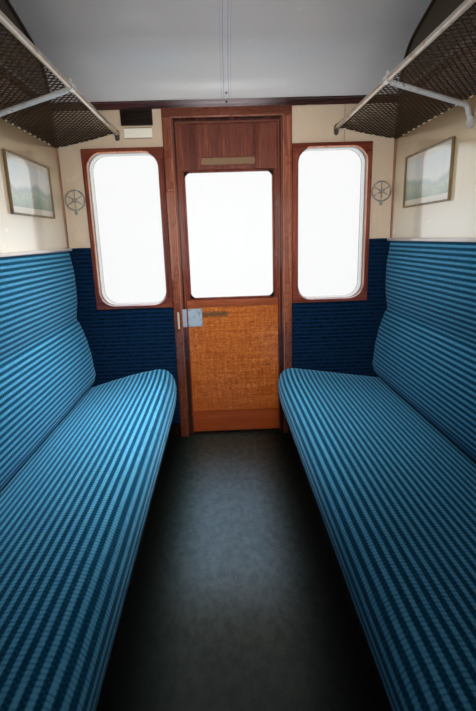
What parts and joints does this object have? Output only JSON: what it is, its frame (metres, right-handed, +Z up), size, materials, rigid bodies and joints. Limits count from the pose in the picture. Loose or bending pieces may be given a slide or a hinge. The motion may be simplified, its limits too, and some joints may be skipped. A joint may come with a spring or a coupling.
{
  "type": "railway carriage compartment section",
  "caption": "Full-width compartment section of a vintage railway carriage: two slam doors, facing striped benches, luggage racks, arched roof and underframe.",
  "frame": {"origin": "middle of the section in plan, on the underside of the solebars", "axes": "+X along the carriage, +Y across it towards the side seen in the picture, +Z up"},
  "size_m": [1.964, 2.888, 2.9132],
  "materials": {
    "underframe_black": "satin black",
    "footboard_timber": "weathered",
    "deck_timber": "bare boards",
    "lino": "worn satin",
    "body_paint": "varnished gloss outside, cream inside",
    "partition_paint": "gloss cream",
    "roof_paint": "matt grey",
    "ceiling_gloss": "gloss white",
    "dark_varnish": "dark varnish",
    "red_varnish": "gloss varnish",
    "orange_varnish": "gloss varnish",
    "window_glass": "clear",
    "moquette": "striped cut pile",
    "seat_box_paint": "dark paint",
    "rack_metal": "worn silver",
    "net_cord": "knotted cord",
    "picture_wood": "varnish",
    "picture_print": "glazed print",
    "vent_paint": "satin",
    "chrome": "polished",
    "lamp_glass": "opal",
    "lock_steel": "worn"
  },
  "bodies": {
    "carriage_body": {"back_shelves": "red_varnish", "cantrails": "body_paint", "ceiling_lamp": "lamp_glass", "ceiling_panel": "ceiling_gloss", "ceiling_strip": "ceiling_gloss", "corner_beads": "dark_varnish", "corner_rosettes": "chrome", "cornices": "dark_varnish", "cross_bearers": "underframe_black", "door_architraves": "red_varnish", "door_fixings": "lock_steel", "door_sills": "body_paint", "door_stops": "dark_varnish", "far_side_quarters": "body_paint", "floor_deck": "deck_timber", "floor_lino": "lino", "footboard_brackets": "underframe_black", "footboards": "footboard_timber", "grab_handles": "lock_steel", "left_rack_net": "net_cord", "left_seat_back": "moquette", "left_seat_cushion": "moquette", "near_side_quarters": "body_paint", "partitions": "partition_paint", "picture_frames": "picture_wood", "picture_panels": "picture_print", "quarterlight_frames": "red_varnish", "quarterlight_glass": "window_glass", "quarterlight_outer_frames": "body_paint", "rack_brackets": "rack_metal", "rack_rails": "rack_metal", "right_rack_net": "net_cord", "right_seat_back": "moquette", "right_seat_cushion": "moquette", "roof": "roof_paint", "roof_ventilators": "roof_paint", "seat_bases": "seat_box_paint", "side_trim_pads": "moquette", "solebars": "underframe_black", "wall_vents": "vent_paint"},
    "far_door": {"far_door_hinges": "lock_steel", "far_door_leaf": "body_paint", "far_door_lockset": "lock_steel", "far_door_panels": "orange_varnish", "far_door_rails": "red_varnish", "far_droplight_frame": "red_varnish", "far_droplight_glass": "window_glass"},
    "near_door": {"near_door_hinges": "lock_steel", "near_door_leaf": "body_paint", "near_door_lockset": "lock_steel", "near_door_panels": "orange_varnish", "near_door_rails": "red_varnish", "near_droplight_frame": "red_varnish", "near_droplight_glass": "window_glass"}
  },
  "joints": [
    {"name": "far_door_hinge", "type": "hinge", "parent": "carriage_body", "child": "far_door", "pos_m": [0.303, 1.402, 1.175], "axis": [0, 0, -1], "range_deg": [0, 95]},
    {"name": "near_door_hinge", "type": "hinge", "parent": "carriage_body", "child": "near_door", "pos_m": [-0.303, -1.402, 1.175], "axis": [0, 0, -1], "range_deg": [0, 95]}
  ]
}
